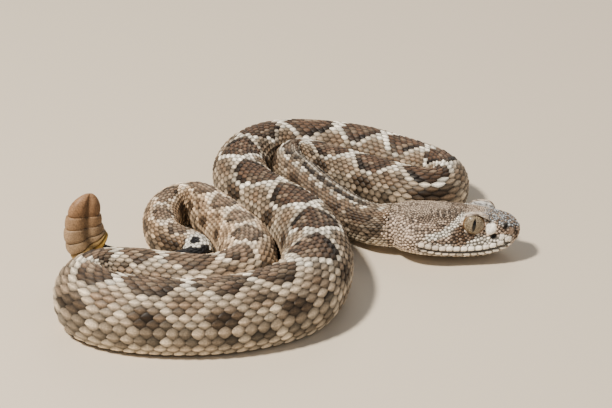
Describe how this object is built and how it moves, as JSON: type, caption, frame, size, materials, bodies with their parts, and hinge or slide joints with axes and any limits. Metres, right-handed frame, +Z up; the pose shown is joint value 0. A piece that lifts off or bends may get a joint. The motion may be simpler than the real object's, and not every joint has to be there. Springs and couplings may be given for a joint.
{
  "type": "western diamondback rattlesnake",
  "caption": "Still, life-size model of a young adult western diamondback rattlesnake, coiled and alert with a raised rattle.",
  "frame": {"origin": "middle of the footprint box, on the ground plane that the belly rests on", "axes": "+X towards the snake's face (the head points along +X, turned ten degrees to -Y), -Y towards the viewer of the picture, +Z up from the ground"},
  "size_m": [0.1285, 0.138, 0.0233],
  "materials": {
    "skin": "matte scaled skin, grey-brown with darker diamonds edged in white",
    "head": "matte fine-scaled skin, pinkish grey with a dark eye patch and pale stripes",
    "tail": "matte scaled skin banded black and white",
    "eye": "glossy, pale gold iris with an upright slit pupil",
    "rattle": "satin horn, tan to grey-brown"
  },
  "bodies": {
    "root": {"head": "head", "eye_left": "eye", "eye_right": "eye", "neck": "skin", "body_length_01": "skin", "body_length_02": "skin", "body_length_03": "skin", "body_length_04": "skin", "body_length_05": "skin", "body_length_06": "skin", "body_length_07": "skin", "body_length_08": "skin", "body_length_09": "skin", "body_length_10": "skin", "body_length_11": "skin", "body_length_12": "skin", "body_length_13": "skin", "tail": "tail", "rattle_ring_1": "rattle", "rattle_ring_2": "rattle", "rattle_ring_3": "rattle", "rattle_ring_4": "rattle", "rattle_ring_5": "rattle", "rattle_ring_6": "rattle"}
  },
  "joints": []
}
